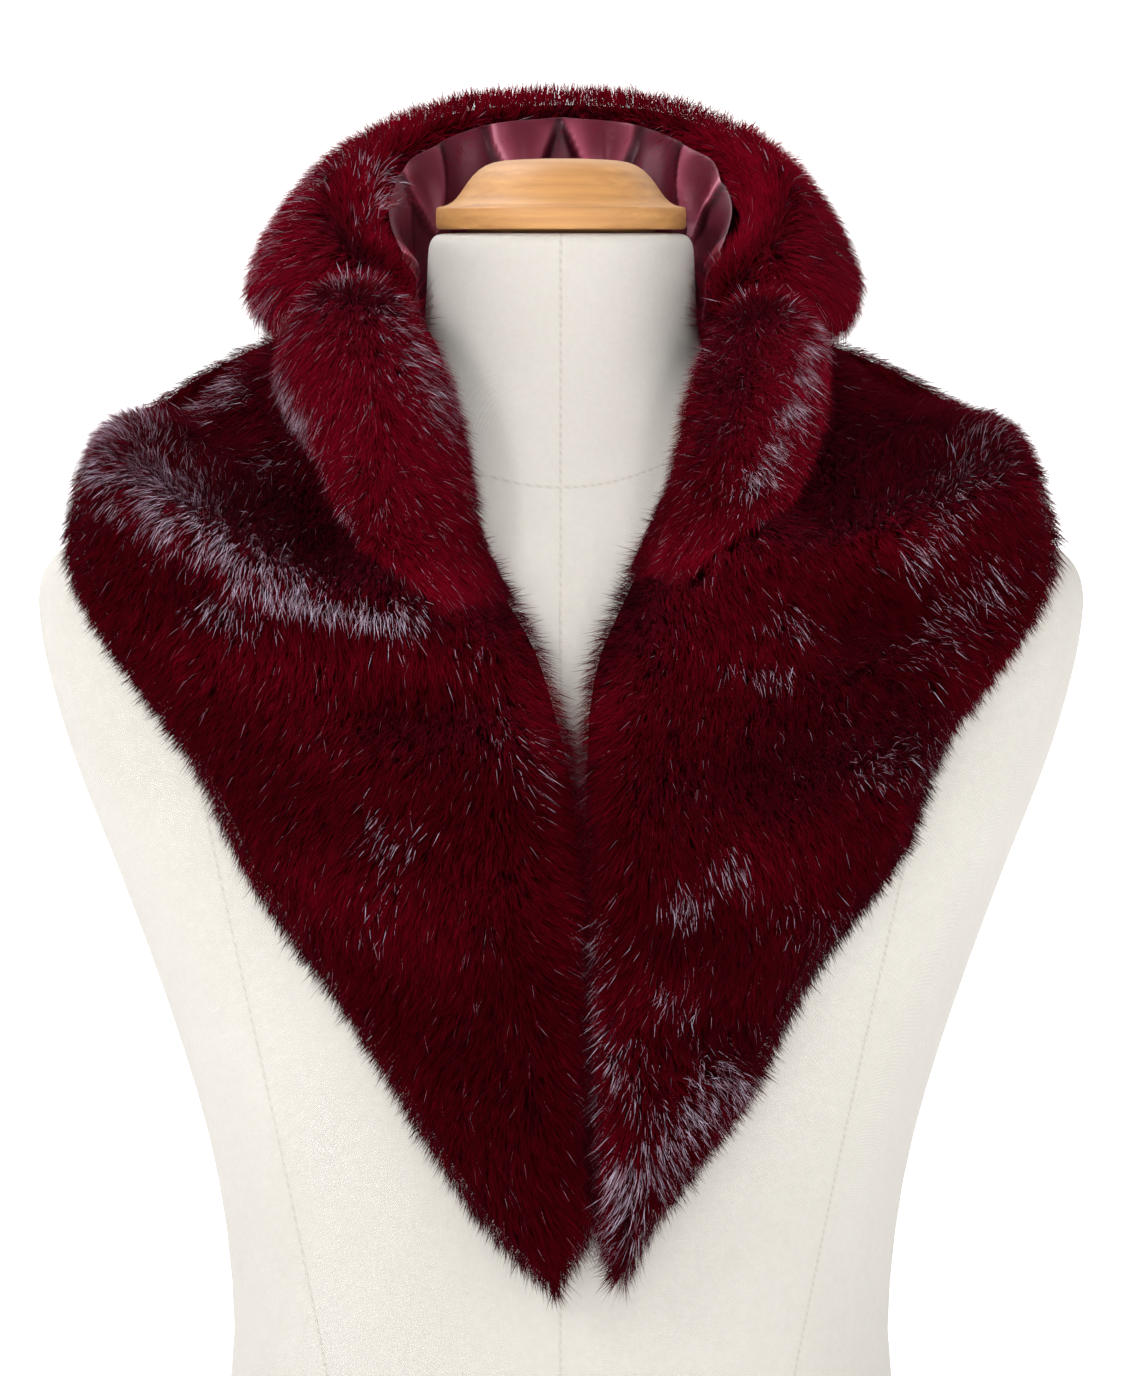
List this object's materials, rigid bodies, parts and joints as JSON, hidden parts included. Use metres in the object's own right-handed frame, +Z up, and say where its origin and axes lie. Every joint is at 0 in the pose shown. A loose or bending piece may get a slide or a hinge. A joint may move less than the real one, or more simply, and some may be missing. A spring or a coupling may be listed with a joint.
{
  "type": "fur collar wrap on a dress form",
  "caption": "Long-pile fur collar wrap with a standing, satin-lined collar, rolled lapels and fronts meeting in a point, worn on a limbless linen dress form.",
  "frame": {"origin": "middle of the dress form's flat underside, which rests on the surface below", "axes": "+Z up along the dress form, -Y the way its front faces, +X towards the wearer's left"},
  "size_m": [0.402, 0.2742, 0.7109],
  "materials": {
    "linen": "matte woven linen, cream",
    "wood": "satin varnish on turned beech",
    "fur": "long glossy pile, burgundy",
    "satin": "glossy satin, plum"
  },
  "bodies": {
    "root": {"form_body": "linen", "neck_cap": "wood", "front_right": "fur", "front_left": "fur", "back": "fur", "lapel_right": "fur", "lapel_left": "fur", "collar": "fur", "collar_lining": "satin"}
  },
  "joints": []
}
